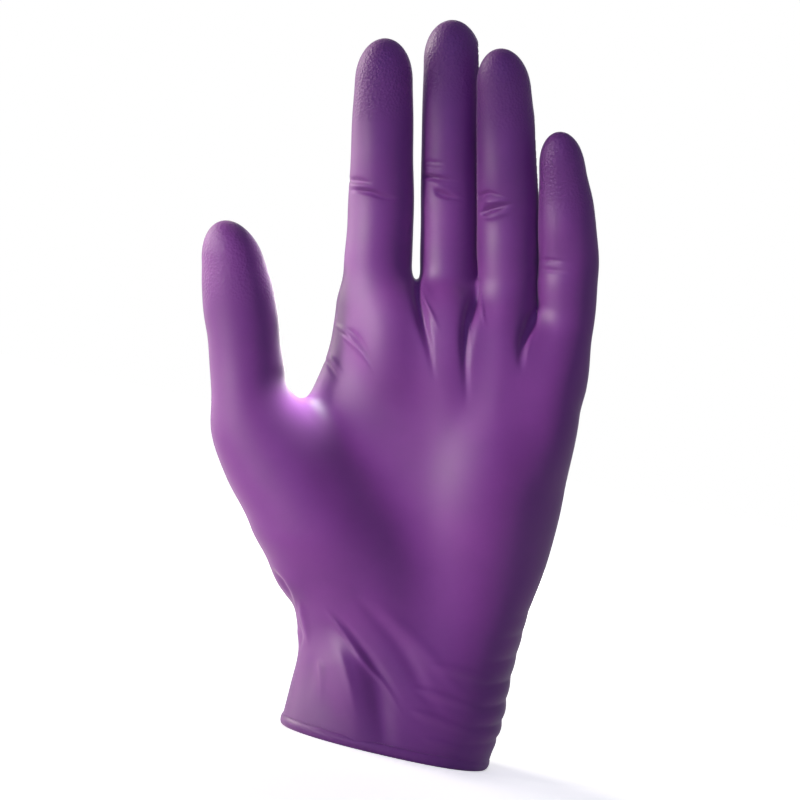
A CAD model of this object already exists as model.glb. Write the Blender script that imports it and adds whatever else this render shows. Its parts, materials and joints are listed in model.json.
"""Looks of the disposable glove: one violet film in the shape of a left hand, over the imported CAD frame.

The skin is worked out as a distance field in the hand frame, in millimetres: (across, depth, up) from the
centre of the wrist, with the palm at negative depth. The field is meshed, stretched like a film over the
hollows and creased. It is then cut into one piece per joint, and set into the row frame, where it leans.
"""

import json
import math
from collections import namedtuple

import bpy
import numpy as np
from mathutils import Matrix, Vector

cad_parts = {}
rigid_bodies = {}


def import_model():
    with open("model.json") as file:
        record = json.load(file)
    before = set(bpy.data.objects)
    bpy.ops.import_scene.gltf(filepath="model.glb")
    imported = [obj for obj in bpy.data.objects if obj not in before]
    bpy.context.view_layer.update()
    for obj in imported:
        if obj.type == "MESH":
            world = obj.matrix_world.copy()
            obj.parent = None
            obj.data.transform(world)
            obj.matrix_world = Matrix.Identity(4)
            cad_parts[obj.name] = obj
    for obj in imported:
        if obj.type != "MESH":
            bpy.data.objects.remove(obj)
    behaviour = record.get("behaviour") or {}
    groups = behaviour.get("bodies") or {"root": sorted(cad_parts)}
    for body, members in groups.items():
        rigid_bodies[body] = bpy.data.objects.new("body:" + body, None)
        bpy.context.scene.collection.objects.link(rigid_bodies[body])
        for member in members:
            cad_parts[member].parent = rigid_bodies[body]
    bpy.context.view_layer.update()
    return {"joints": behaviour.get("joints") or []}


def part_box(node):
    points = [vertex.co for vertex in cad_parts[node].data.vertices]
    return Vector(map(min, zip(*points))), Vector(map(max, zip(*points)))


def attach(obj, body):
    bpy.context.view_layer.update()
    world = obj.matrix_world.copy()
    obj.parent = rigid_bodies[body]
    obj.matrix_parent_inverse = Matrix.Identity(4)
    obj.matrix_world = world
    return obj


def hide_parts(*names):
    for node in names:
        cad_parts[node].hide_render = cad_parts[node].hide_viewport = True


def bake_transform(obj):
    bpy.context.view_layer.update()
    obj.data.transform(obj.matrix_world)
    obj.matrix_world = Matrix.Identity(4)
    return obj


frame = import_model()

JOINTS = {joint["name"]: joint for joint in frame["joints"]}
MM = 1000.0

# ---------------------------------------------------------------- the hand frame
WRIST = np.array(JOINTS["wrist"]["pos_m"]) * MM
ACROSS = np.array(JOINTS["middle_root"]["axis"])
UP = np.array([-ACROSS[2], 0.0, ACROSS[0]])
LEAN = math.atan2(ACROSS[2], ACROSS[0])
CUFF_EDGE = -WRIST[2]  # height of the table in the hand frame, along the straightened cuff
LEAN_FROM, LEAN_TO = -16.0, 18.0  # the film turns from the cuff's direction to the hand's between these


def in_hand_frame(joint_name):
    """A hinge's (across, depth, up)."""
    point = np.array(JOINTS[joint_name]["pos_m"]) * MM - WRIST
    return np.array([point @ ACROSS, point[1], point @ UP])


def smooth_step(t):
    t = np.clip(t, 0.0, 1.0)
    return t * t * (3 - 2 * t)


def to_row_frame(points):
    """Points of the straightened glove, in mm, to the row frame, in metres. The cuff doesn't lean."""
    angle = LEAN * smooth_step((points[:, 2] - LEAN_FROM) / (LEAN_TO - LEAN_FROM))
    c, s = np.cos(angle), np.sin(angle)
    moved = np.stack(
        [points[:, 0] * c - points[:, 2] * s, points[:, 1], points[:, 0] * s + points[:, 2] * c], axis=1
    )
    return (moved + WRIST) / MM


# ---------------------------------------------------------------- smooth profiles along the hand
PROFILE_STEP = 0.25


class Profile:
    """Values that change smoothly with height, through rows of (height, value, value, ...)."""

    def __init__(self, rows):
        rows = np.array(rows, float)
        z, v = rows[:, 0], rows[:, 1:]
        slope = np.gradient(v, z, axis=0)
        self.z = np.arange(z[0], z[-1] + PROFILE_STEP, PROFILE_STEP)
        i = np.clip(np.searchsorted(z, self.z, side="right") - 1, 0, len(z) - 2)
        span = z[i + 1] - z[i]
        t = ((self.z - z[i]) / span)[:, None]
        span = span[:, None]
        self.v = (
            v[i] * (1 + 2 * t) * (1 - t) ** 2
            + v[i + 1] * t * t * (3 - 2 * t)
            + slope[i] * span * t * (1 - t) ** 2
            - slope[i + 1] * span * t * t * (1 - t)
        )

    def at(self, z):
        return [np.interp(z, self.z, column).astype(np.float32) for column in self.v.T]


# ---------------------------------------------------------------- distance fields
def rounded_distance(parts, sizes, power=2.0):
    """Near-true distance to a superellipsoid. parts are coordinates over their sizes."""
    r = sum(abs(p) ** power for p in parts) ** (1 / power)
    steepness = np.sqrt(sum((p / s) ** 2 for p, s in zip(parts, sizes)))
    return r * (r - 1) / np.maximum(steepness, 1e-4)


def smooth_union(a, b, reach):
    overlap = np.maximum(reach - abs(a - b), 0) / reach
    return np.minimum(a, b) - overlap * overlap * reach / 4


# A stall is the film round one finger. Its profile gives across, depth, half width, front and back by height
Stall = namedtuple("Stall", "name profile root foot dome end spread")
FINGER_NAMES = ("index", "middle", "ring", "little")
# Half widths: root, mid proximal, middle hinge, mid middle, tip hinge, where the dome starts
FINGER_WIDTHS = {
    "index": (11.1, 10.8, 10.75, 10.2, 10.0, 9.4),
    "middle": (9.6, 9.5, 9.5, 9.5, 9.5, 9.4),
    "ring": (10.2, 10.2, 10.3, 10.1, 9.7, 8.8),
    "little": (9.4, 9.8, 9.8, 9.5, 8.8, 7.5),
}
# How far a finger's centre line strays across the hand at the same places, and at its end
FINGER_SWAY = {
    "index": (-0.3, 0.0, 0.0, 0.0, 0.0, 0.1, 0.2),
    "middle": (0.0, 0.1, 0.1, 0.3, 0.5, 0.8, 0.6),
    "ring": (-0.5, -0.6, -0.6, -0.8, -1.2, -1.9, -2.8),
    "little": (-1.0, -0.9, -0.4, -0.8, -1.2, -2.3, -3.1),
}
# How far a finger lies behind its hinges
FINGER_DEPTH = {"index": 0.0, "middle": 0.8, "ring": -1.2, "little": -2.0}
# How far aside a finger is shaped, so that the net keeps it apart from the next. It is moved back later
FINGER_SPREAD = {"index": 0.0, "middle": -0.3, "ring": 1.2, "little": 2.9}
SPREAD_BELOW, SPREAD_OVER = 8.0, 18.0  # the spread comes on from this far below the root, over this height
DOME_HEIGHT = {"index": 13.5, "middle": 13.0, "ring": 12.5, "little": 11.5}
END_RISE = {"middle": 0.7}  # how far a fingertip rises over its CAD one
CURL_GAIN = 1.35  # a fingertip slopes this many times as much as the length below it
# A stall's foot runs down inside the palm, and is moved in by a share of the way to the hand's middle
FOOT_DROP, PROFILE_DROP = 22, 24  # how far below the root the foot is, and its profile starts
FOOT_WIDTH, FOOT_FRONT, FOOT_BACK = 0.92, 9.0, 8.5  # share of the root's half width, and depths
FOOT_ROUNDING = 9.0
HAND_MIDDLE = 21.3
FEET_CLOSING = {"index": -0.02, "middle": 0.1, "ring": 0.1, "little": 0.13}
FRONT_SHARE = (0.93, 0.93, 0.84, 0.90, 0.82, 0.90)  # front depth over half width at the same places
BACK_SHARE = (0.88, 0.86, 0.88, 0.84, 0.82, 0.74)


def finger_stall(name):
    """A finger's film, through its hinges and over the top of its CAD tip."""
    root, middle, tip = (in_hand_frame(f"{name}_{place}") for place in ("root", "middle", "tip"))
    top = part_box(f"{name}_tip")[1][2] * MM - WRIST[2]
    end = (top - tip[0] * math.sin(LEAN)) / math.cos(LEAN) + END_RISE.get(name, 0.0)
    dome = end - DOME_HEIGHT[name]
    turn = (tip - middle) / (tip[2] - middle[2]) * (1.0, CURL_GAIN, 1.0)
    beyond = [tip + turn * (z - tip[2]) for z in (dome, end)]
    places = [root, (root + middle) / 2, middle, (middle + tip) / 2, tip, *beyond]
    foot = root[0] + (HAND_MIDDLE - root[0]) * FEET_CLOSING[name]
    foot_width = FOOT_WIDTH * FINGER_WIDTHS[name][0]
    rows = [(root[2] - PROFILE_DROP, foot, root[1], foot_width, FOOT_FRONT, FOOT_BACK)]
    for i, (x, y, z) in enumerate(places):
        k = min(i, len(FRONT_SHARE) - 1)
        width = FINGER_WIDTHS[name][k]
        rows.append(
            (
                z, x + FINGER_SWAY[name][i], y + FINGER_DEPTH[name], width,
                width * FRONT_SHARE[k], width * BACK_SHARE[k],
            )
        )
    return Stall(name, Profile(rows), root[2], root[2] - FOOT_DROP, dome, end, FINGER_SPREAD[name])


# The thumb: height, across, depth, half width, front, back. Its dome is between the last two rows
THUMB_ROWS = (
    (30.0, -26.0, -6.5, 17.0, 14.5, 12.0),
    (46.0, -31.2, -8.0, 16.6, 15.0, 12.5),
    (60.0, -39.9, -9.5, 16.4, 14.5, 12.5),
    (74.0, -46.7, -11.5, 15.0, 13.2, 12.0),
    (88.0, -50.3, -12.9, 11.5, 12.0, 11.2),
    (97.0, -50.6, -13.9, 11.7, 11.2, 10.6),
    (105.0, -51.2, -15.2, 11.6, 10.6, 10.0),
    (113.0, -52.1, -16.4, 11.9, 10.0, 9.6),
    (122.0, -53.2, -17.4, 11.3, 10.3, 8.6),
    (130.0, -54.4, -18.8, 10.0, 9.4, 7.6),
    (142.4, -56.6, -20.4, 8.9, 8.8, 7.0),
)


THUMB_ROOT, THUMB_FOOT = 60.0, 44.0


def thumb_stall():
    dome, end = THUMB_ROWS[-2][0], THUMB_ROWS[-1][0]
    return Stall("thumb", Profile(THUMB_ROWS), THUMB_ROOT, THUMB_FOOT, dome, end, 0.0)


def aside(stall, z):
    """How far a stall is shaped to the side of where it goes."""
    return stall.spread * smooth_step((z - stall.root + SPREAD_BELOW) / SPREAD_OVER)


def stall_distance(stall, x, y, z):
    """Distance to a stall's outside. Its foot and its end are rounded off."""
    cx, cy, width, front, back = stall.profile.at(z)
    cx = cx + aside(stall, z)
    depth = np.where(y < cy, front, back)
    below = np.maximum(stall.foot - z, 0) / FOOT_ROUNDING
    above = np.maximum(z - stall.dome, 0) / (stall.end - stall.dome)
    ends = np.where(z < stall.foot, below, above)
    end_size = np.where(z < stall.foot, FOOT_ROUNDING, stall.end - stall.dome)
    return rounded_distance(((x - cx) / width, (y - cy) / depth, ends), (width, depth, end_size))


# The hand without its stalls: height, thumb side, little-finger side, front, back
HAND = Profile(
    (
        (-40.0, -34.9, 33.6, 26.4, 26.4),
        (-28.0, -34.8, 33.8, 26.0, 26.0),
        (-14.0, -34.4, 35.4, 24.6, 24.6),
        (0.0, -34.6, 35.4, 22.4, 21.6),
        (14.0, -35.6, 39.8, 20.6, 19.8),
        (30.0, -35.6, 46.0, 19.8, 19.0),
        (46.0, -34.0, 50.4, 19.2, 18.0),
        (62.0, -34.8, 53.2, 18.0, 17.0),
        (76.0, -34.6, 55.2, 17.0, 16.2),
        (88.0, -29.9, 56.2, 16.2, 15.5),
        (100.0, -25.0, 57.4, 15.6, 14.6),
        (112.0, -22.2, 59.0, 14.4, 13.4),
        (126.0, -19.8, 61.0, 12.4, 11.4),
    )
)
HAND_SQUARENESS = 2.3
PALM_TILT = 0.10  # the palm stands out more towards the little finger's side, by this share of its depth
# The top of the hand, between the fingers: its height at a place across, its slope and its rounding
CROTCH_TOP, CROTCH_AT, CROTCH_SLOPE, CROTCH_ROUNDING = 117.0, 22.0, -0.30, 14.0
WEB_REACH = 6.0  # how softly a finger's stall runs into the palm
THUMB_REACH = 16.0  # the same for the thumb's

# Pads that stand out of the palm: centre, sizes, turn in the plane of the hand, reach
Pad = namedtuple("Pad", "centre sizes turn reach")
PADS = (
    Pad((-23.6, -10.0, 44.0), (16.0, 13.5, 34.0), 30.0, 15.0),  # thenar, at the thumb's base
    Pad((-31.5, -4.0, 30.0), (10.0, 12.0, 9.0), 30.0, 6.0),  # where the film hangs at the wrist
    Pad((29.0, -8.0, 62.0), (14.5, 12.6, 25.0), -12.0, 14.0),  # hypothenar, opposite
    Pad((-3.0, -8.5, 103.0), (10.5, 9.0, 20.0), 4.0, 8.0),  # under the index finger
    Pad((15.0, -8.5, 99.0), (9.5, 9.5, 22.0), 0.0, 8.0),
    Pad((32.0, -9.0, 94.0), (9.5, 9.5, 24.0), -2.0, 8.0),
    Pad((46.0, -9.0, 84.0), (9.0, 9.5, 22.0), -8.0, 10.0),
)
# Hollows of the palm side: centre across and up, sizes, depth
HOLLOWS = (
    (-4.0, 66.0, 17.0, 22.0, 1.6),
    (8.0, 30.0, 12.0, 26.0, 1.6),
)
HOLLOW_FADE = 8.0  # a hollow is full from this far in front of the hand's middle


def pad_distance(pad, x, y, z):
    """Distance to an ellipsoid that is turned in the plane of the hand."""
    turn = math.radians(pad.turn)
    c, s = math.cos(turn), math.sin(turn)
    dx, dy, dz = x - pad.centre[0], y - pad.centre[1], z - pad.centre[2]
    parts = ((dx * c + dz * s), dy, (dz * c - dx * s))
    return rounded_distance([p / size for p, size in zip(parts, pad.sizes)], pad.sizes)


def crotch_height(x):
    return CROTCH_TOP + CROTCH_SLOPE * (x - CROTCH_AT)


def hand_distance(x, y, z):
    """The wrist, palm and cuff, without the stalls."""
    low, high, front, back = HAND.at(z)
    cx, width = (low + high) / 2, (high - low) / 2
    depth = np.where(y < 0, front * (1 + PALM_TILT * (x - cx) / width), back)
    above = np.maximum(z - (crotch_height(x) - CROTCH_ROUNDING), 0) / CROTCH_ROUNDING
    d = rounded_distance(
        ((x - cx) / width, y / depth, above), (width, depth, CROTCH_ROUNDING), HAND_SQUARENESS
    )
    for pad in PADS:
        d = smooth_union(d, pad_distance(pad, x, y, z), pad.reach)
    for across, up, wide, tall, deep in HOLLOWS:
        near = np.exp(-(((x - across) / wide) ** 2) - ((z - up) / tall) ** 2)
        d = d + deep * near * smooth_step(-y / HOLLOW_FADE)
    return d


FINGERS = [finger_stall(name) for name in FINGER_NAMES]
THUMB = thumb_stall()


def glove_distance(x, y, z):
    """Distance to the glove's outer skin, negative inside."""
    hand = smooth_union(hand_distance(x, y, z), stall_distance(THUMB, x, y, z), THUMB_REACH)
    d = hand
    for stall in FINGERS:
        d = np.minimum(d, smooth_union(hand, stall_distance(stall, x, y, z), WEB_REACH))
    return d


# ---------------------------------------------------------------- meshing
GRID_LOW = np.array([-72.0, -38.0, CUFF_EDGE + 2.0])
GRID_HIGH = np.array([68.0, 30.0, 211.0])
GRID_STEP = 1.0
FIT_ROUNDS, STRETCH_ROUNDS = 3, 25
EVENING, STRETCHING = 0.5, 0.6  # share of the way to its neighbours' mean that a point moves in one round


def surface_net(distance, low, high, step):
    """Quads around the cells that a field's zero surface crosses. The grid's bottom face stays open."""
    axes = [np.arange(a, b, step, dtype=np.float32) for a, b in zip(low, high)]
    x, y, z = axes[0][:, None, None], axes[1][None, :, None], axes[2][None, None, :]
    field = distance(x, y, z)
    inside = field < 0
    cell_sum = np.zeros([n - 1 for n in field.shape], np.int8)
    corners = [(i, j, k) for i in (0, 1) for j in (0, 1) for k in (0, 1)]
    shape = cell_sum.shape

    def corner(array, c):
        return array[c[0] : c[0] + shape[0], c[1] : c[1] + shape[1], c[2] : c[2] + shape[2]]

    for c in corners:
        cell_sum += corner(inside, c)
    cells = np.argwhere((cell_sum > 0) & (cell_sum < 8))
    index = np.full(shape, -1, np.int32)
    index[tuple(cells.T)] = np.arange(len(cells))
    total, count = np.zeros((len(cells), 3)), np.zeros((len(cells), 1))
    for c in corners:
        for axis in range(3):
            if c[axis]:
                continue
            other = list(c)
            other[axis] = 1
            f0 = field[tuple((cells + c).T)]
            f1 = field[tuple((cells + other).T)]
            crosses = (f0 < 0) != (f1 < 0)
            t = f0[crosses] / (f0[crosses] - f1[crosses])
            place = np.repeat(np.array([c], float), crosses.sum(), axis=0)
            place[:, axis] = t
            total[crosses] += place
            count[crosses] += 1
    points = (cells + total / count) * step + low
    quads = []
    for axis in range(3):
        u, v = (axis + 1) % 3, (axis + 2) % 3
        here = [slice(1, n - 1) for n in field.shape]
        here[axis] = slice(0, field.shape[axis] - 1)
        there = list(here)
        there[axis] = slice(1, field.shape[axis])
        a, b = inside[tuple(here)], inside[tuple(there)]
        edges = np.argwhere(a != b)
        leaving = a[tuple(edges.T)]
        offset = np.array([1, 1, 1])
        offset[axis] = 0
        edges = edges + offset
        ring = []
        for du, dv in ((-1, -1), (0, -1), (0, 0), (-1, 0)):
            cell = edges.copy()
            cell[:, u] += du
            cell[:, v] += dv
            ring.append(index[tuple(cell.T)])
        ring = np.stack(ring, axis=1)
        ring[~leaving] = ring[~leaving][:, ::-1]
        quads.append(ring)
    quads = np.concatenate(quads)
    return points, quads[(quads >= 0).all(axis=1)]


def slope_of(distance, points, step=0.05):
    """The field's value and direction at points."""
    value = distance(*points.T)
    grad = np.stack(
        [(distance(*(points + step * axis).T) - value) / step for axis in np.eye(3)], axis=1
    )
    return value, grad / np.maximum(np.linalg.norm(grad, axis=1, keepdims=True), 1e-6)


class Net:
    """A quad mesh with the neighbour tables that smoothing it needs."""

    def __init__(self, points, quads):
        self.points, self.quads = points, quads
        ends = np.stack([quads, np.roll(quads, -1, axis=1)], axis=2).reshape(-1, 2)
        self.pairs, pair_of = np.unique(np.sort(ends, axis=1), axis=0, return_inverse=True)
        self.pair_of = pair_of.reshape(quads.shape)
        self.links = np.bincount(self.pairs.ravel(), minlength=len(points))[:, None]

    def around(self, values):
        """The mean of each point's neighbours."""
        total = np.zeros_like(values)
        for i, j in ((0, 1), (1, 0)):
            for k in range(values.shape[1]):
                weights = values[self.pairs[:, j], k]
                total[:, k] += np.bincount(self.pairs[:, i], weights=weights, minlength=len(values))
        return total / self.links

    def normals(self):
        p, q = self.points, self.quads
        face = np.cross(p[q[:, 2]] - p[q[:, 0]], p[q[:, 3]] - p[q[:, 1]])
        out = np.zeros_like(p)
        for corner in range(4):
            for k in range(3):
                out[:, k] += np.bincount(q[:, corner], weights=face[:, k], minlength=len(p))
        return out / np.maximum(np.linalg.norm(out, axis=1, keepdims=True), 1e-9)

    def at_cuff_edge(self):
        return (self.points[:, 2] < GRID_LOW[2] + GRID_STEP)[:, None]

    def evened(self, share):
        """The points moved a share of the way to the mean of their neighbours."""
        moved = self.points * (1 - share) + self.around(self.points) * share
        return np.where(self.at_cuff_edge(), self.points, moved)

    def finer(self):
        """The same surface with each quad cut in four."""
        q, n, edges = self.quads, len(self.points), len(self.pairs)
        points = np.concatenate(
            [self.points, self.points[self.pairs].mean(axis=1), self.points[q].mean(axis=1)]
        )
        centre = n + edges + np.arange(len(q))
        side = n + self.pair_of
        before = np.roll(side, 1, axis=1)
        quads = [np.stack([q[:, i], side[:, i], centre, before[:, i]], axis=1) for i in range(4)]
        return Net(points, np.concatenate(quads))


def glove_net():
    """The hand's surface as an even net."""
    net = Net(*surface_net(glove_distance, GRID_LOW, GRID_HIGH, GRID_STEP))
    for _ in range(FIT_ROUNDS):
        value, direction = slope_of(glove_distance, net.points)
        net.points = net.points - direction * np.clip(value, -1, 1)[:, None]
        net.points = net.evened(EVENING)
    return net


def draw_together(points):
    """Moves each point back from its nearest finger's side, so that the fingers lie against each other."""
    x, z = points[:, 0], points[:, 2]
    sides = np.array([aside(stall, z) for stall in FINGERS])
    gaps = [abs(x - stall.profile.at(z)[0] - side) for stall, side in zip(FINGERS, sides)]
    moved = points.copy()
    moved[:, 0] -= sides[np.argmin(gaps, axis=0), np.arange(len(points))]
    return moved


def stretch_film(net):
    """Pulls the film tight across the hollows. It can't sink into the hand."""
    for _ in range(STRETCH_ROUNDS):
        net.points = net.evened(STRETCHING)
        value, direction = slope_of(glove_distance, net.points)
        net.points = net.points - direction * np.minimum(value, 0)[:, None]


# ---------------------------------------------------------------- folds
# A fold runs through (across, up) points on one side of the hand. Its height is negative where it goes in
Fold = namedtuple("Fold", "points width height")
PALM_FOLDS = (
    # where the film is pulled down from between the fingers
    Fold(((4.0, 128.0), (4.6, 120.0), (6.0, 111.0), (7.8, 103.0), (10.2, 90.0)), 1.7, -2.4),
    Fold(((4.9, 124.0), (6.6, 117.0), (9.3, 112.0), (12.0, 106.0)), 0.7, 0.8),
    Fold(((24.6, 124.0), (22.6, 116.5), (20.4, 108.0), (19.6, 98.0), (20.2, 80.0)), 1.9, -2.8),
    Fold(((22.6, 119.0), (21.4, 112.0), (21.2, 106.0), (21.6, 99.0)), 0.55, 0.8),
    Fold(((24.8, 122.0), (25.0, 115.0), (26.4, 107.0)), 0.6, 0.55),
    Fold(((43.6, 117.0), (40.4, 108.5), (38.0, 102.0), (37.0, 93.0)), 2.0, -2.4),
    Fold(((42.5, 109.0), (40.0, 103.0), (38.6, 96.0)), 0.7, 0.5),
    # across the thumb's web
    Fold(((-23.0, 110.2), (-17.9, 106.6), (-12.8, 99.6), (-8.5, 92.0)), 0.75, 0.75),
    Fold(((-21.0, 107.0), (-16.6, 103.2), (-12.4, 97.4)), 0.6, 0.55),
    Fold(((-19.8, 108.8), (-14.8, 104.6), (-10.4, 98.5)), 1.1, -0.55),
    Fold(((-26.4, 99.6), (-23.2, 94.6), (-19.6, 89.6)), 0.7, -0.7),
    Fold(((-25.0, 101.0), (-21.8, 96.8), (-18.4, 92.0)), 0.8, 0.45),
    # inside of the index finger's middle joint
    Fold(((-19.0, 157.0), (-14.0, 155.7), (-9.8, 155.0)), 0.8, -1.0),
    Fold(((-18.6, 153.4), (-11.3, 152.2), (-5.0, 150.2), (1.0, 150.4)), 0.8, -1.1),
    Fold(((-18.0, 154.9), (-12.0, 153.9), (-6.0, 152.9)), 0.8, 0.5),
    # middle finger
    Fold(((5.0, 157.8), (10.0, 156.9), (19.5, 155.2)), 0.7, -1.1),
    Fold(((5.6, 159.2), (11.2, 158.3), (16.4, 157.6)), 0.6, 0.5),
    Fold(((8.4, 153.4), (13.4, 151.2), (20.6, 149.4)), 0.8, -1.2),
    Fold(((8.0, 155.4), (13.0, 153.6), (18.0, 152.6)), 1.0, 0.5),
    Fold(((5.6, 163.0), (9.6, 162.0), (15.4, 161.9)), 0.6, -0.45),
    Fold(((5.6, 161.2), (9.6, 160.3), (14.4, 159.8)), 0.6, -0.4),
    # ring finger
    Fold(((23.8, 150.2), (28.0, 151.4), (33.8, 150.2)), 0.8, -1.2),
    Fold(((25.5, 148.6), (30.5, 149.0), (36.6, 149.4)), 0.8, 0.8),
    Fold(((25.2, 145.2), (29.6, 146.4), (38.0, 148.4)), 0.8, -1.4),
    Fold(((26.0, 143.6), (31.0, 144.4), (37.0, 145.9)), 1.0, 0.6),
    # little finger
    Fold(((45.8, 130.2), (50.0, 129.9), (57.0, 129.2)), 0.6, -0.6),
    Fold(((46.2, 127.4), (50.5, 126.7), (58.5, 126.0)), 0.7, -0.6),
    # the wrist's thumb side
    Fold(((-43.0, 32.0), (-39.4, 25.0), (-37.0, 20.5), (-35.6, 12.0)), 1.3, -2.0),
    Fold(((-36.6, 23.0), (-35.4, 13.0), (-33.8, 6.6), (-34.4, -2.0)), 1.0, -1.1),
    Fold(((-33.6, 22.0), (-31.8, 12.0), (-31.2, 2.0)), 1.2, 0.8),
    # the loose cuff
    Fold(((-26.0, 20.0), (-19.4, 11.0), (-11.5, -0.5), (-4.8, -6.5), (6.0, -18.0)), 1.1, 0.85),
    Fold(((-23.0, 19.0), (-15.4, 8.0), (-7.6, -1.8), (3.0, -12.0)), 1.5, -0.6),
    Fold(((-24.0, 14.0), (-19.0, 0.0), (-14.5, -10.0), (-10.5, -20.0), (-6.5, -35.0)), 7.0, 3.0),
    Fold(((-14.0, 8.0), (-9.0, -4.0), (-4.4, -14.0), (0.0, -25.0), (3.0, -34.0)), 3.6, -1.3),
    Fold(((-21.0, 6.0), (-17.5, -3.0), (-14.0, -11.0), (-10.4, -20.0)), 1.5, 0.6),
    Fold(((-27.0, 0.0), (-24.8, -8.0), (-23.0, -19.0)), 1.3, 0.55),
    Fold(((-29.5, 2.0), (-28.6, -10.0), (-27.6, -20.0)), 2.2, -0.5),
    Fold(((-17.2, 25.0), (-5.0, 11.0), (8.0, -6.0), (20.0, -16.0)), 2.6, -0.8),
    Fold(((-12.0, 24.0), (0.0, 12.0), (14.0, -1.0), (26.0, -8.0)), 2.4, 0.5),
    Fold(((3.0, -5.0), (15.0, -7.0), (31.0, -9.5)), 1.3, 0.5),
    Fold(((4.0, -12.0), (16.0, -14.0), (31.0, -16.5)), 1.4, 0.5),
    Fold(((8.0, 2.0), (20.0, 0.5), (33.0, -2.5)), 1.5, 0.45),
    Fold(((10.0, -20.0), (20.0, -21.0), (30.0, -23.0)), 1.4, 0.4),
)
CUFF_BACK_FOLDS = (
    Fold(((-22.0, 20.0), (-17.0, 6.0), (-9.0, -10.0), (-2.0, -30.0)), 2.0, 0.9),
    Fold(((-15.0, 16.0), (-10.0, 3.0), (-3.0, -10.0), (3.0, -24.0)), 2.2, -0.6),
    Fold(((24.0, 18.0), (18.0, 5.0), (12.0, -10.0), (9.0, -24.0)), 2.0, 0.8),
    Fold(((29.0, 9.0), (14.0, 4.0), (-2.0, 6.0), (-16.0, 11.0)), 1.6, -0.7),
    Fold(((27.0, 2.0), (13.0, -2.0), (0.0, -1.0)), 1.3, -0.5),
)
# Wrinkles on the back of a finger's middle joint: rise over the hinge, width, height
KNUCKLE_WRINKLES = ((2.6, 0.7, -0.5), (0.4, 0.6, 0.35), (-1.8, 0.7, -0.5))
WRINKLE_REACH, WRINKLE_DROOP = 7.0, 0.8  # how far a wrinkle's ends are to the side, and how much lower
CURVE_POINTS = 24
FOLD_REACH = 3  # a fold is felt this many times its width away
FADE_IN, FADE_OUT = 0.3, 0.6  # shares of a fold's length over which it rises and falls
THINNEST = 0.55  # a fold's width at its ends, as a share of its full width
SIDE_SHARPNESS, SIDE_OVERLAP = 2.5, 0.6  # how fast a side's folds fade as the film turns away, and how late
# The small bulges in which the little-finger side of the wrist hangs: how far apart they are, how much they
# slant, and the share of their height that lies below the film
SCALLOP_SPACING, SCALLOP_SLANT, SCALLOP_SINK = 5.7, 0.12, 0.6
SCALLOP_TOP, SCALLOP_TOP_FADE = 22.0, 12.0  # they start below this height, and come on over this
SCALLOP_CLEAR, SCALLOP_CLEAR_FADE = 5, 6.0  # they stop this far above the cuff's edge, and fade over this
SCALLOP_SIDE, SCALLOP_SIDE_FADE = 0.35, 0.5  # the film faces at least this much sideways there
SCALLOP_SMALLEST, SCALLOP_GROWTH = 0.25, 0.5  # their size at the wrist, and what it gains
SCALLOP_GROWS_FROM, SCALLOP_GROWS_OVER = 12.0, 30.0  # going down from this height, over this


def along_curve(points):
    """Points of a smooth curve through a fold's points, and how far along each is, 0 to 1."""
    points = np.array(points, float)
    t = np.linspace(0, len(points) - 1, CURVE_POINTS)
    i = np.clip(t.astype(int), 0, len(points) - 2)
    f = (t - i)[:, None]
    slope = np.gradient(points, axis=0)
    a, b, sa, sb = points[i], points[i + 1], slope[i], slope[i + 1]
    curve = (
        a * (1 + 2 * f) * (1 - f) ** 2 + b * f * f * (3 - 2 * f)
        + sa * f * (1 - f) ** 2 - sb * f * f * (1 - f)
    )
    return curve, t / (len(points) - 1)


def fold_heights(points, normals, folds, side):
    """How far the folds lift each point of one side of the hand: side is -1 for the palm, 1 for the back."""
    lift = np.zeros(len(points))
    facing = smooth_step(normals[:, 1] * side * SIDE_SHARPNESS + SIDE_OVERLAP)
    flat = points[:, [0, 2]]
    for fold in folds:
        curve, share = along_curve(fold.points)
        reach = FOLD_REACH * fold.width
        low, high = curve.min(axis=0) - reach, curve.max(axis=0) + reach
        near = np.flatnonzero(((flat > low) & (flat < high)).all(axis=1) & (facing > 0))
        best = np.full(len(near), np.inf)
        where = np.zeros(len(near))
        for a, b, sa, sb in zip(curve, curve[1:], share, share[1:]):
            along = b - a
            t = np.clip(((flat[near] - a) @ along) / (along @ along), 0, 1)
            gap = np.linalg.norm(flat[near] - a - t[:, None] * along, axis=1)
            closer = gap < best
            best[closer] = gap[closer]
            where[closer] = (sa + (sb - sa) * t)[closer]
        taper = smooth_step(where / FADE_IN) * smooth_step((1 - where) / FADE_OUT)
        width = fold.width * (THINNEST + (1 - THINNEST) * taper)
        lift[near] += fold.height * taper * np.exp(-((best / width) ** 2)) * facing[near]
    return lift


def scallop_heights(points, normals):
    """How far the small bulges down the little-finger side of the wrist and cuff lift each point."""
    _, y, z = points.T
    below_top = smooth_step((SCALLOP_TOP - z) / SCALLOP_TOP_FADE)
    above_edge = smooth_step((z - CUFF_EDGE - SCALLOP_CLEAR) / SCALLOP_CLEAR_FADE)
    facing = smooth_step((normals[:, 0] - SCALLOP_SIDE) / SCALLOP_SIDE_FADE)
    growth = smooth_step((SCALLOP_GROWS_FROM - z) / SCALLOP_GROWS_OVER)
    size = SCALLOP_SMALLEST + SCALLOP_GROWTH * growth
    phase = math.pi * (z + SCALLOP_SLANT * abs(y)) / SCALLOP_SPACING
    return (abs(np.sin(phase)) - SCALLOP_SINK) * size * facing * below_top * above_edge


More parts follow.
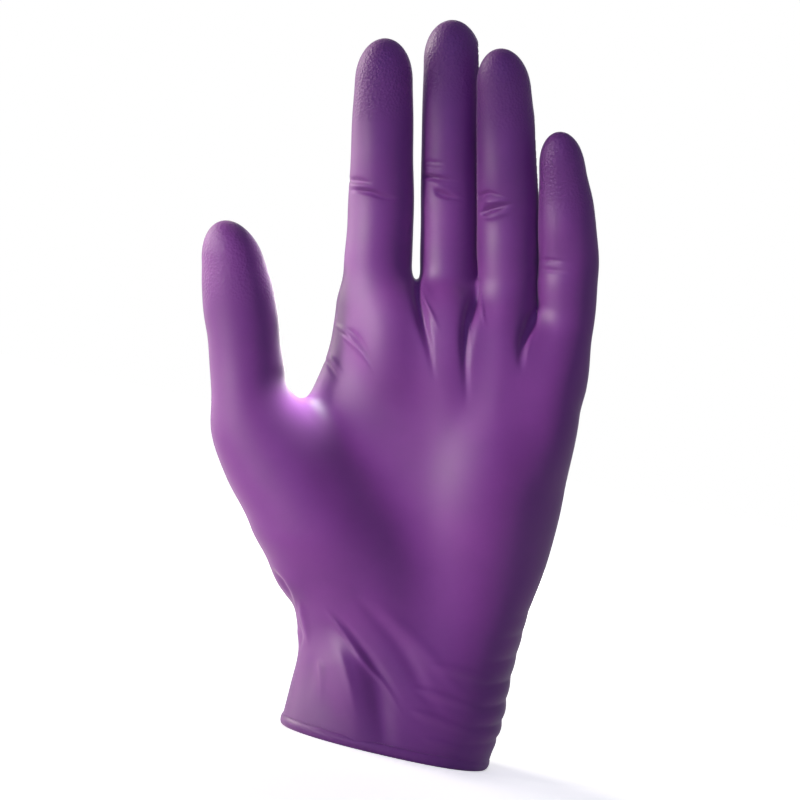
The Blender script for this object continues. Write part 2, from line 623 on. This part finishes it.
def back_folds():
    """The back's folds: short wrinkles over each finger's middle joint, and the cuff's soft ones."""
    folds = list(CUFF_BACK_FOLDS)
    for stall in FINGERS:
        across, _, up = in_hand_frame(f"{stall.name}_middle")
        across += float(aside(stall, up))
        for rise, width, height in KNUCKLE_WRINKLES:
            ends = [(across + side * WRINKLE_REACH, up + rise - WRINKLE_DROOP) for side in (-1, 1)]
            folds.append(Fold((ends[0], (across, up + rise), ends[1]), width, height))
    return folds


def crease_film(net):
    """Puts the folds into the film."""
    normals = net.normals()
    lift = fold_heights(net.points, normals, PALM_FOLDS, -1.0)
    lift += fold_heights(net.points, normals, back_folds(), 1.0)
    lift += scallop_heights(net.points, normals)
    net.points = net.points + normals * lift[:, None]


# ---------------------------------------------------------------- pieces
# A bend spreads over this many times its angle times its depth, so that the film isn't crushed inside it
BEND_LENGTH = 1.55
WRIST_DEPTH, THUMB_ROOT_DEPTH, THUMB_TIP_DEPTH = 21.0, 10.8, 9.9  # the film's half depths there
# Where a stall starts on its first bend and the cuff's piece ends on the wrist's. A bend runs from -1 to 1
STALL_START, WRIST_END = -1.06, 1.04
THUMB_SIDE, FINGER_SIDE = -36, -22  # the thumb lies left of the first, and the crotches right of the second
CROTCH_PIECE = 9  # how far the crotches' piece reaches down from the top of the hand
# The thumb's base is left of this place across, which moves to the left with height
BASE_SIDE, BASE_SLOPE, BASE_FROM = -29, 0.06, 20
Bend = namedtuple("Bend", "joint parent child centre along length")


def bend_of(joint_name, along, depth):
    """Where the film bends at a joint, on the way along the limb."""
    joint = JOINTS[joint_name]
    angle = math.radians(max(abs(limit) for limit in joint["range_deg"]))
    centre = np.array(joint["pos_m"]) * MM
    length = BEND_LENGTH * angle * depth
    return Bend(joint_name, joint["parent"], joint["child"], centre, along, length)


def finger_bends(stall):
    """The three bends of a finger stall, from the palm up."""
    bends = []
    for place in ("root", "middle", "tip"):
        height = in_hand_frame(f"{stall.name}_{place}")[2]
        depth = max(float(size) for size in stall.profile.at(height)[3:])
        bends.append(bend_of(f"{stall.name}_{place}", UP, depth))
    return bends


def thumb_bends():
    """The thumb's two bends, from the palm up."""
    root, tip = (np.array(JOINTS[f"thumb_{place}"]["pos_m"]) * MM for place in ("root", "tip"))
    along = (tip - root) / np.linalg.norm(tip - root)
    return [bend_of("thumb_root", along, THUMB_ROOT_DEPTH), bend_of("thumb_tip", along, THUMB_TIP_DEPTH)]


def beyond(points, bend, share):
    """Which row-frame points lie past a place on the bend: share -1 is its start, 1 its end."""
    return (points - bend.centre) @ bend.along > share * bend.length / 2


class Piece:
    """A part of the film that follows one bend, or one body, and the CAD zones that it stands for."""

    def __init__(self, name, faces, bend=None, body=None, zones=(), slot="film"):
        self.name, self.faces, self.bend, self.body = name, faces, bend, body
        self.zones, self.slot = zones, slot


def limb_pieces(stall, bends, member, middles):
    """Cuts a stall's faces halfway between its bends. member says which faces are its own."""
    labels = ("root", "middle", "tip") if len(bends) == 3 else ("root", "tip")
    zone_names = ("lower", "middle", "tip") if len(bends) == 3 else ("lower", "tip")
    pieces = []
    for i, (bend, label, zone) in enumerate(zip(bends, labels, zone_names)):
        mine = member & beyond(middles, bends[0], STALL_START)
        if i > 0:
            low = (bends[i - 1].centre + bend.centre) / 2
            mine &= (middles - low) @ bend.along > 0
        if i < len(bends) - 1:
            high = (bend.centre + bends[i + 1].centre) / 2
            mine &= (middles - high) @ bend.along <= 0
        pieces.append(
            Piece(
                f"{stall.name}_{label}_film", mine, bend=bend,
                zones=(f"{stall.name}_{label}_crease", f"{stall.name}_{zone}"),
                slot="textured_film" if label == "tip" else "film",
            )
        )
    return pieces


def plan_pieces(net):
    """Shares the net's faces out to the pieces."""
    middle = net.points[net.quads].mean(axis=1)
    facing = net.normals()[net.quads].mean(axis=1)
    row = to_row_frame(middle) * MM
    stalls = [*FINGERS, THUMB]
    nearest = np.argmin([stall_distance(stall, *middle.T) for stall in stalls], axis=0)
    free = np.ones(len(middle), bool)
    pieces = []
    for i, stall in enumerate(stalls):
        bends = thumb_bends() if stall is THUMB else finger_bends(stall)
        member = nearest == i
        if stall is THUMB:
            member &= middle[:, 0] < THUMB_SIDE
        pieces += limb_pieces(stall, bends, member, row)
    wrist = bend_of("wrist", np.array([0.0, 0.0, 1.0]), WRIST_DEPTH)
    below = ~beyond(row, wrist, WRIST_END)
    pieces.append(Piece("wrist_film", below, bend=wrist, zones=("wrist_crease", "cuff_film")))
    for piece in pieces:
        piece.faces &= free
        free &= ~piece.faces
    crotch = middle[:, 2] > crotch_height(middle[:, 0]) - CROTCH_PIECE
    crotch &= middle[:, 0] > FINGER_SIDE
    base = middle[:, 0] < BASE_SIDE - BASE_SLOPE * (middle[:, 2] - BASE_FROM)
    front = facing[:, 1] < 0
    for name, zone, faces in (
        ("finger_crotch_film", "finger_crotches", crotch),
        ("thumb_base_film", "thumb_base", base),
        ("palm_film", "palm", front),
        ("back_film", "back_of_hand", ~front),
    ):
        mine = free & faces
        free &= ~mine
        pieces.append(Piece(name, mine, body="palm", zones=(zone,)))
    return pieces


def make_piece(net, normals, grip_shares, piece, material):
    """An object from a piece's faces. It has the whole film's normals, so that no seam shows."""
    used, inverse = np.unique(net.quads[piece.faces], return_inverse=True)
    mesh = bpy.data.meshes.new(piece.name)
    points = to_row_frame(net.points[used])
    mesh.from_pydata(points.tolist(), [], inverse.reshape(-1, 4).tolist())
    mesh.polygons.foreach_set("use_smooth", np.ones(len(mesh.polygons), bool))
    grip = mesh.attributes.new("grip", "FLOAT", "POINT")
    grip.data.foreach_set("value", grip_shares[used].astype(np.float32))
    mesh.normals_split_custom_set_from_vertices(normals[used].tolist())
    mesh.materials.append(material)
    obj = bpy.data.objects.new(piece.name, mesh)
    bpy.context.scene.collection.objects.link(obj)
    if piece.bend:
        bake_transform(obj)
    else:
        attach(obj, piece.body)
    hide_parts(*piece.zones)
    return obj


GRIP_LENGTH, GRIP_FADE = 30.0, 9.0  # the texture starts this far below a stall's end, and comes on over this
GRIP_NEAR = 2.0  # a point this near to a stall is on it


def grip_texture(points):
    """How much of the fingertips' fine texture each point has."""
    share = np.zeros(len(points))
    for stall in [*FINGERS, THUMB]:
        start = stall.end - GRIP_LENGTH
        near = stall_distance(stall, *points.T) < GRIP_NEAR
        share[near] = np.maximum(share[near], smooth_step((points[near, 2] - start) / GRIP_FADE))
    return share


# ---------------------------------------------------------------- bead
BEAD_POINTS, BEAD_SIDES = 260, 14
BEAD_WIDE, BEAD_TALL = 1.0, 1.8  # half sizes of the roll
BEAD_INSET = 0.45  # the roll's middle is this far inside the film's outside
BEAD_WAVES = ((5, 1, 0.05), (11, 0, 0.04), (23, 2, 0.03))  # how it swells all round: count, phase, share


def add_bead(material):
    """The cuff's rolled edge: a slightly uneven roll all round the opening."""
    low, high, front, back = (float(v) for v in HAND.at(CUFF_EDGE))
    middle, half_width = (high + low) / 2, (high - low) / 2
    power = 2 / HAND_SQUARENESS
    verts, faces = [], []
    for i in range(BEAD_POINTS):
        a = 2 * math.pi * i / BEAD_POINTS
        c, s = math.cos(a), math.sin(a)
        x = half_width * math.copysign(abs(c) ** power, c)
        depth = back if s > 0 else front * (1 + PALM_TILT * x / half_width)
        y = depth * math.copysign(abs(s) ** power, s)
        outward = Vector((x / half_width**2, y / front**2)).normalized()
        swell = 1 + sum(share * math.sin(count * a + phase) for count, phase, share in BEAD_WAVES)
        for k in range(BEAD_SIDES):
            b = 2 * math.pi * k / BEAD_SIDES
            out = BEAD_WIDE * swell * math.cos(b) - BEAD_INSET
            up = BEAD_TALL * (swell if math.sin(b) > 0 else 1) * math.sin(b) + BEAD_TALL
            verts.append(((middle + x + outward.x * out) / MM, (y + outward.y * out) / MM, up / MM))
            i2, k2 = (i + 1) % BEAD_POINTS, (k + 1) % BEAD_SIDES
            faces.append(
                (i * BEAD_SIDES + k, i2 * BEAD_SIDES + k, i2 * BEAD_SIDES + k2, i * BEAD_SIDES + k2)
            )
    mesh = bpy.data.meshes.new("cuff_roll")
    mesh.from_pydata(verts, [], faces)
    mesh.polygons.foreach_set("use_smooth", np.ones(len(mesh.polygons), bool))
    mesh.materials.append(material)
    bead = bpy.data.objects.new("cuff_roll", mesh)
    bpy.context.scene.collection.objects.link(bead)
    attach(bead, "cuff")
    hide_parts("cuff_bead")


# ---------------------------------------------------------------- looks
def add_node(tree, kind, **inputs):
    """A shader node with its inputs set, or joined to another node's socket."""
    node = tree.nodes.new(kind)
    for name, value in inputs.items():
        socket = node.inputs[name.replace("_", " ")]
        if isinstance(value, bpy.types.NodeSocket):
            tree.links.new(value, socket)
        else:
            socket.default_value = value
    return node


FILM_DARK, FILM_LIGHT = (0.140, 0.013, 0.185, 1), (0.170, 0.019, 0.215, 1)
FILM_ROUGHNESS = (0.50, 0.60)
FILM_SPECULAR = 0.75
SHEEN_WEIGHT, SHEEN_ROUGHNESS, SHEEN_TINT = 0.35, 0.45, (0.98, 0.88, 0.88, 1)
CLOUD_SCALE, GRAIN_SCALE, GRIP_SCALE = 45.0, 900.0, 1150.0  # features per metre
GRAIN_STRENGTH, GRAIN_HEIGHT = 0.06, 0.0002
GRIP_STRENGTH, GRIP_HEIGHT = 0.55, 0.0003


def film_material(name, textured=False):
    """Violet nitrile, a little uneven, with a soft pale sheen. The textured one has a fine grip as well."""
    material = bpy.data.materials.new(name)
    material.use_nodes = True
    tree = material.node_tree
    shader = tree.nodes["Principled BSDF"]
    place = tree.nodes.new("ShaderNodeTexCoord").outputs["Object"]
    clouds = add_node(tree, "ShaderNodeTexNoise", Vector=place, Scale=CLOUD_SCALE, Detail=4.0)
    ramp = tree.nodes.new("ShaderNodeValToRGB")
    for stop, position, color in zip(ramp.color_ramp.elements, (0.35, 0.68), (FILM_DARK, FILM_LIGHT)):
        stop.position = position
        stop.color = color
    tree.links.new(clouds.outputs["Fac"], ramp.inputs["Fac"])
    tree.links.new(ramp.outputs["Color"], shader.inputs["Base Color"])
    rough = add_node(
        tree, "ShaderNodeMapRange", Value=clouds.outputs["Fac"], From_Min=0.3, From_Max=0.7,
        To_Min=FILM_ROUGHNESS[0], To_Max=FILM_ROUGHNESS[1],
    )
    tree.links.new(rough.outputs["Result"], shader.inputs["Roughness"])
    shader.inputs["Specular IOR Level"].default_value = FILM_SPECULAR
    shader.inputs["Sheen Weight"].default_value = SHEEN_WEIGHT
    shader.inputs["Sheen Roughness"].default_value = SHEEN_ROUGHNESS
    shader.inputs["Sheen Tint"].default_value = SHEEN_TINT
    grain = add_node(tree, "ShaderNodeTexNoise", Vector=place, Scale=GRAIN_SCALE, Detail=3.0)
    bump = add_node(
        tree, "ShaderNodeBump", Height=grain.outputs["Fac"], Strength=GRAIN_STRENGTH,
        Distance=GRAIN_HEIGHT,
    )
    if textured:
        cells = add_node(tree, "ShaderNodeTexVoronoi", Vector=place, Scale=GRIP_SCALE)
        grip = tree.nodes.new("ShaderNodeAttribute")
        grip.attribute_name = "grip"
        strength = add_node(tree, "ShaderNodeMath")
        strength.operation = "MULTIPLY"
        tree.links.new(grip.outputs["Fac"], strength.inputs[0])
        strength.inputs[1].default_value = GRIP_STRENGTH
        bump = add_node(
            tree, "ShaderNodeBump", Height=cells.outputs["Distance"],
            Strength=strength.outputs["Value"], Distance=GRIP_HEIGHT, Normal=bump.outputs["Normal"],
        )
    tree.links.new(bump.outputs["Normal"], shader.inputs["Normal"])
    return material


# ---------------------------------------------------------------- stage
CAMERA_DISTANCE = 0.85
VIEW_WIDTH = 0.2608  # what the picture's width covers at the glove
SENSOR_WIDTH = 36.0
AIM = (-1.2, 0.0, 85.2)  # the picture's middle, in the hand frame


def add_camera():
    """Level with the palm, and turned with the hand, so that the hand stands upright in the picture."""
    target = Vector(to_row_frame(np.array([AIM]))[0])
    data = bpy.data.cameras.new("camera")
    data.sensor_width = SENSOR_WIDTH
    data.lens = data.sensor_width * CAMERA_DISTANCE / VIEW_WIDTH
    camera = bpy.data.objects.new("camera", data)
    camera.location = target + Vector((0, -CAMERA_DISTANCE, 0))
    level = Matrix.Rotation(math.radians(90), 4, "X")
    camera.rotation_euler = (Matrix.Rotation(-LEAN, 4, "Y") @ level).to_euler()
    bpy.context.scene.collection.objects.link(camera)
    bpy.context.scene.camera = camera


AreaLight = namedtuple("AreaLight", "name place target size power color spread")
GLOVE_MIDDLE = (-0.02, 0.0, 0.11)
WIDE = 180.0
AREA_LIGHTS = (
    # a big soft key from the thumb's side, and narrow lights on the palm, the thumb's web and the cuff
    AreaLight("key", (-1.15, 0.40, 0.45), GLOVE_MIDDLE, 0.75, 15.0, (1.0, 0.96, 0.84), WIDE),
    AreaLight(
        "palm", (-0.45, -0.28, 0.15), (-0.006, -0.015, 0.108), 0.16, 0.082, (1.0, 0.94, 0.88), 12.0
    ),
    AreaLight(
        "web", (-0.137, -0.04, 0.497), (-0.056, -0.012, 0.104), 0.015, 0.008, (0.85, 1.0, 0.85), 3.2
    ),
    AreaLight(
        "cuff", (-0.42, -0.22, 0.10), (-0.024, -0.015, 0.018), 0.12, 0.009, (1.0, 0.95, 0.90), 6.0
    ),
    # a violet fill from the front, and a soft white light behind
    AreaLight("front", (-0.30, -1.30, 0.60), GLOVE_MIDDLE, 0.90, 3.7, (0.46, 0.34, 1.0), WIDE),
    AreaLight("behind", (0.1, 1.20, 0.45), GLOVE_MIDDLE, 0.90, 4.0, (1, 1, 1), WIDE),
)


def add_area_light(lamp):
    data = bpy.data.lights.new(lamp.name, "AREA")
    data.size = lamp.size
    data.energy = lamp.power
    data.color = lamp.color
    data.spread = math.radians(lamp.spread)
    light = bpy.data.objects.new(lamp.name, data)
    light.location = lamp.place
    aim = Vector(lamp.target) - Vector(lamp.place)
    light.rotation_euler = aim.to_track_quat("-Z", "Y").to_euler()
    bpy.context.scene.collection.objects.link(light)


FLOOR_SIZE = 12
FLOOR_DARK, FLOOR_LIGHT = (0.92, 0.92, 0.92, 1), (0.96, 0.96, 0.96, 1)
FLOOR_GLOW = (0.56, 1.0)  # how brightly the floor shows by itself, at the glove and far from it
GLOW_FROM, GLOW_TO = 0.15, 0.9  # the distances from the glove between which that changes


def add_floor():
    """A plain pale floor. It fades to white away from the glove, so that it has no visible edge."""
    material = bpy.data.materials.new("floor")
    material.use_nodes = True
    tree = material.node_tree
    shader = tree.nodes["Principled BSDF"]
    grain = add_node(tree, "ShaderNodeTexNoise", Scale=300.0)
    ramp = tree.nodes.new("ShaderNodeValToRGB")
    for stop, color in zip(ramp.color_ramp.elements, (FLOOR_DARK, FLOOR_LIGHT)):
        stop.color = color
    tree.links.new(grain.outputs["Fac"], ramp.inputs["Fac"])
    tree.links.new(ramp.outputs["Color"], shader.inputs["Base Color"])
    shader.inputs["Roughness"].default_value = 0.8
    shader.inputs["Specular IOR Level"].default_value = 0.2
    place = tree.nodes.new("ShaderNodeTexCoord").outputs["Object"]
    away = add_node(tree, "ShaderNodeVectorMath")
    away.operation = "LENGTH"
    tree.links.new(place, away.inputs[0])
    glow = add_node(
        tree, "ShaderNodeMapRange", Value=away.outputs["Value"], From_Min=GLOW_FROM,
        From_Max=GLOW_TO, To_Min=FLOOR_GLOW[0], To_Max=FLOOR_GLOW[1],
    )
    seen = tree.nodes.new("ShaderNodeLightPath")
    shown = add_node(tree, "ShaderNodeMath")
    shown.operation = "MULTIPLY"
    tree.links.new(glow.outputs["Result"], shown.inputs[0])
    tree.links.new(seen.outputs["Is Camera Ray"], shown.inputs[1])
    shader.inputs["Emission Color"].default_value = (1, 1, 1, 1)
    tree.links.new(shown.outputs["Value"], shader.inputs["Emission Strength"])
    bpy.ops.mesh.primitive_plane_add(size=FLOOR_SIZE)
    floor = bpy.context.object
    floor.name = "floor"
    floor.data.materials.append(material)


SKY_COLOR, SKY_STRENGTH = (0.80, 0.84, 1.0, 1), 0.22


def add_world():
    """A white surround for the camera, and a dim bluish one for everything else."""
    world = bpy.data.worlds.new("studio")
    world.use_nodes = True
    tree = world.node_tree
    dim = tree.nodes["Background"]
    dim.inputs["Color"].default_value = SKY_COLOR
    dim.inputs["Strength"].default_value = SKY_STRENGTH
    white = add_node(tree, "ShaderNodeBackground", Color=(1, 1, 1, 1), Strength=1.0)
    seen = tree.nodes.new("ShaderNodeLightPath")
    mix = tree.nodes.new("ShaderNodeMixShader")
    tree.links.new(seen.outputs["Is Camera Ray"], mix.inputs["Fac"])
    tree.links.new(dim.outputs["Background"], mix.inputs[1])
    tree.links.new(white.outputs["Background"], mix.inputs[2])
    tree.links.new(mix.outputs["Shader"], tree.nodes["World Output"].inputs["Surface"])
    bpy.context.scene.world = world


NORMAL_STEP = 0.01  # how far along a normal a point is moved to find that normal in the row frame


def main():
    net = glove_net()
    stretch_film(net)
    net = net.finer()
    net.points = net.evened(EVENING)
    crease_film(net)
    pieces, grip_shares = plan_pieces(net), grip_texture(net.points)
    net.points = draw_together(net.points)
    normals = net.normals()
    row_normals = to_row_frame(net.points + normals * NORMAL_STEP) - to_row_frame(net.points)
    row_normals = row_normals * MM / NORMAL_STEP
    materials = {
        "film": film_material("film"),
        "textured_film": film_material("textured_film", textured=True),
    }
    for piece in pieces:
        make_piece(net, row_normals, grip_shares, piece, materials[piece.slot])
    add_bead(film_material("bead"))
    add_camera()
    for lamp in AREA_LIGHTS:
        add_area_light(lamp)
    add_floor()
    add_world()
    bpy.context.scene.view_settings.view_transform = "Standard"


main()
